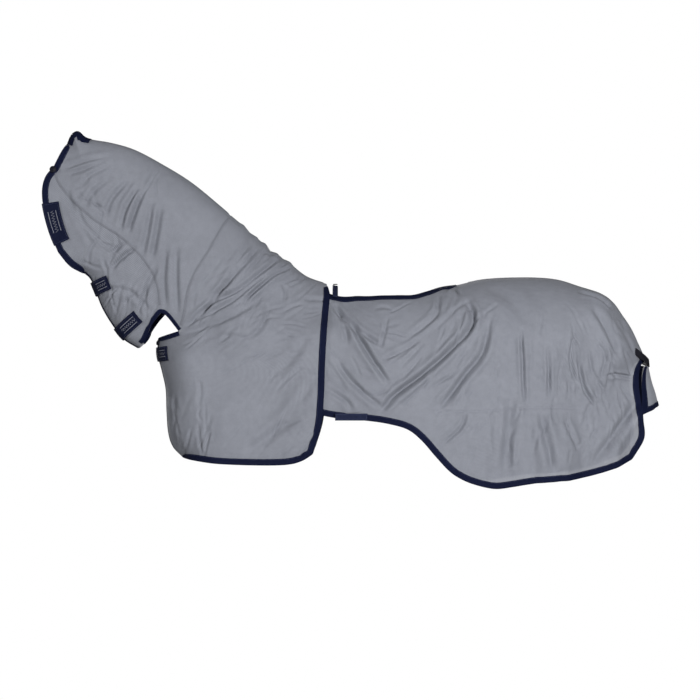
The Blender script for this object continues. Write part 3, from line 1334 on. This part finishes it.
s, t = np.meshgrid(np.linspace(-1, 1, 61), np.linspace(0.0, 1, 45), indexing="ij")
flap_net = flap_point(s, t)
flap_flip = net_normals(flap_net)[30, 20, 0] < 0
flap = net_piece("cloth_tail_flap", flap_net, flap_cloth, flip=bool(flap_flip))
sewn(flap, "tail_cover", "mesh_grey", "tail_flap")
strip = flap_strip()
strip_out = net_normals(strip)
strip_out *= np.sign((strip_out * [1, 0, 0]).sum())
turned = strip[:, 0] - strip[:, 1]
turned /= np.linalg.norm(turned, axis=1, keepdims=True)
rows = [(strip + strip_out * 0.0013)[:, ::-1], strip[:, :1] + turned[:, None] * 0.0016,
        strip - strip_out * 0.0013]
flap_tape = net_piece("tape_tail_flap", np.concatenate(rows, axis=1), binding_tape, thick=0.0008)
sewn(flap_tape, "tail_cover", "binding_navy", "tail_flap_binding")
keep_stitches("tail_cover", stitch_line(strip + strip_out * 0.0019))
print("tail flap %.3f m2" % area_of(flap_net))

# %% [markdown]
# ## Stitches
# Thousands of equal stitches follow the bindings, so Geometry Nodes place
# them.  The lines that were kept above become a wire mesh.  The tree turns the
# wire into curves, cuts them every few millimetres, puts one small stitch on
# each point, turned along the line, and makes them real.  A named input sets
# the spacing, the length and the thickness.

# %% The stitching tree
STITCH_PITCH, STITCH_LONG, STITCH_THICK = 0.0046, 0.0033, 0.0008


def stitching_tree():
    tree = bpy.data.node_groups.new("sew_along_lines", "GeometryNodeTree")
    face = tree.interface
    face.new_socket("Lines", in_out="INPUT", socket_type="NodeSocketGeometry")
    for name, value in (("Spacing", STITCH_PITCH), ("Stitch length", STITCH_LONG), ("Thread", STITCH_THICK)):
        face.new_socket(name, in_out="INPUT", socket_type="NodeSocketFloat").default_value = value
    face.new_socket("Colour", in_out="INPUT", socket_type="NodeSocketMaterial")
    face.new_socket("Stitches", in_out="OUTPUT", socket_type="NodeSocketGeometry")
    def add(kind, **settings):
        node = tree.nodes.new(kind)
        for key, value in settings.items():
            setattr(node, key, value)
        return node
    given, result = add("NodeGroupInput"), add("NodeGroupOutput")
    curve, cut = add("GeometryNodeMeshToCurve"), add("GeometryNodeResampleCurve")
    mode = [s for s in cut.inputs if s.type == "MENU"]
    if mode:
        mode[0].default_value = "Length"
    else:
        cut.mode = "LENGTH"
    tangent, turn = add("GeometryNodeInputTangent"), add("FunctionNodeAlignRotationToVector", axis="X")
    bead, place = add("GeometryNodeMeshUVSphere"), add("GeometryNodeInstanceOnPoints")
    size, real = add("ShaderNodeCombineXYZ"), add("GeometryNodeRealizeInstances")
    paint = add("GeometryNodeSetMaterial")
    bead.inputs["Segments"].default_value, bead.inputs["Rings"].default_value = 6, 4
    bead.inputs["Radius"].default_value = 0.5
    link = tree.links.new
    link(given.outputs["Lines"], curve.inputs[0])
    link(curve.outputs[0], cut.inputs["Curve"])
    link(given.outputs["Spacing"], cut.inputs["Length"])
    link(cut.outputs[0], place.inputs["Points"])
    link(bead.outputs["Mesh"], place.inputs["Instance"])
    link(tangent.outputs[0], turn.inputs["Vector"])
    link(turn.outputs[0], place.inputs["Rotation"])
    link(given.outputs["Stitch length"], size.inputs[0])
    link(given.outputs["Thread"], size.inputs[1])
    link(given.outputs["Thread"], size.inputs[2])
    link(size.outputs[0], place.inputs["Scale"])
    link(place.outputs[0], real.inputs[0])
    link(real.outputs[0], paint.inputs["Geometry"])
    link(given.outputs["Colour"], paint.inputs["Material"])
    link(paint.outputs[0], result.inputs[0])
    return tree


sewing = stitching_tree()
print("tree with %d nodes" % len(sewing.nodes))

# %% [markdown]
# ## Sew each body's stitches
# The lines of one body and one thread go into one wire, and become one piece.
# The modifier's inputs are set by identifier before it is first worked out,
# and the modifier is gone before the piece is handed to the frame.

# %% Sew along the kept lines


def sew(body, colour, lines):
    verts, edges = [], []
    for line in lines:
        start = len(verts)
        verts += line.tolist()
        edges += [(start + k, start + k + 1) for k in range(len(line) - 1)]
    name = "stitches_%s_%s" % (body, colour)
    wire = bpy.data.meshes.new(name)
    wire.from_pydata(verts, edges, [])
    obj = placed(name, wire)
    modifier = obj.modifiers.new("sewing", "NODES")
    modifier.node_group = sewing
    named = {s.name: s.identifier for s in sewing.interface.items_tree if s.in_out == "INPUT"}
    modifier[named["Colour"]] = navy_thread if colour == "navy" else grey_thread
    modifier[named["Spacing"]] = STITCH_PITCH if colour == "navy" else 0.0040
    modifier[named["Thread"]] = STITCH_THICK if colour == "navy" else 0.0006
    settled(obj)
    obj.data.shade_smooth()
    sewn(obj, body, "binding_navy" if colour == "navy" else "mesh_grey")
    return obj


stitch_pieces = {}
for (body, colour), lines in stitch_runs.items():
    stitch_pieces[(body, colour)] = sew(body, colour, lines)
    print("%s, %s thread: %d faces" % (body, colour, len(stitch_pieces[(body, colour)].data.polygons)))

# %% [markdown]
# ## Tell the frame which pieces are cloth
# Each panel is a sheet, cut flat and then draped.  The frame compares the
# cloth that was modelled with the size that was cut, which catches a panel
# that was stretched by mistake.

BOUND_BY = {"neck": ("face_binding", "throat_binding"), "cheek": (),
            "shoulder": ("front_hem_binding", "chest_binding", "collar_binding"),
            "body": ("rear_hem_binding", "saddle_binding")}
for name, (obj, across, down, area) in panel_pieces.items():
    panel, word = name.rsplit("_", 1)
    hems = [hem_pieces["%s_%s" % (hem, word)] for hem in BOUND_BY[panel]]
    "withers_strip" if panel != "body" else "withers_webbing"
print("%d sheets declared" % (len(panel_pieces) + 1))

# %% [markdown]
# ## Light, floor and camera
# A soft key light stands beside the camera, at its height.  A weaker one
# rakes across the folds from the front, one lights the off side, and one
# hangs above.  The pale world fills the shadows only a little.  The camera is
# level with the barrel and nine metres away, so the perspective is mild.

# %% Studio
KEY_POWER, FILL, CAMERA_AWAY = 580, 0.18, 9.0


def soft_light(name, place, aim, size, power):
    data = bpy.data.lights.new(name, "AREA")
    data.shape, data.size, data.energy = "SQUARE", size, power
    obj = placed(name, data)
    obj.location = place
    away = np.array(place) - np.array(aim)
    flat = math.hypot(away[0], away[1])
    obj.rotation_euler = (math.atan2(flat, away[2]), 0, math.atan2(away[1], away[0]) + math.pi / 2)


soft_light("key", (2.4, -6.8, 0.3), (0.1, 0, -0.1), 0.9, KEY_POWER)
soft_light("fold side", (-5.0, -3.6, 1.4), (0.0, 0, -0.1), 1.0, 110)
soft_light("far side", (-2.2, 6.4, 1.2), (0.1, 0, -0.1), 1.4, 520)
soft_light("top", (0.3, -0.4, 4.2), (0.1, 0, 0), 2.5, 14)
world = bpy.data.worlds.new("pale studio")
world.use_nodes = True
nodes, links = world.node_tree.nodes, world.node_tree.links
seen = nodes.new("ShaderNodeLightPath")
strength = nodes.new("ShaderNodeMapRange")
strength.inputs["To Min"].default_value, strength.inputs["To Max"].default_value = FILL, 1.0
links.new(seen.outputs["Is Camera Ray"], strength.inputs["Value"])
nodes["Background"].inputs[0].default_value = (1, 1, 1, 1)
links.new(strength.outputs[0], nodes["Background"].inputs[1])
bpy.context.scene.world = world
bpy.context.scene.view_settings.view_transform = "Standard"

floor_finish = Finish("pale_floor", rough=0.9)
grain = floor_finish.cloudy(floor_finish.place(), 3.0, 2.0)
floor_finish.feed("Base Color", floor_finish.mixed(grain, (0.86, 0.86, 0.86, 1), (0.90, 0.90, 0.90, 1)))
disc = bmesh.new()
bmesh.ops.create_circle(disc, cap_ends=True, segments=96, radius=1.15)
bmesh.ops.translate(disc, verts=disc.verts, vec=(0.09, 0, -1.62))
floor_mesh = bpy.data.meshes.new("floor")
disc.to_mesh(floor_mesh)
disc.free()
floor_mesh.materials.append(floor_finish.material)
floor = placed("floor", floor_mesh)

camera_data = bpy.data.cameras.new("camera")
camera_data.lens, camera_data.sensor_width, camera_data.clip_end = 132.24, 36.0, 60.0
camera = placed("camera", camera_data)
camera.location = (0.0875, -CAMERA_AWAY, -0.231)
camera.rotation_euler = (math.pi / 2, 0, 0)
bpy.context.scene.camera = camera
print("camera %.1f m away" % CAMERA_AWAY)
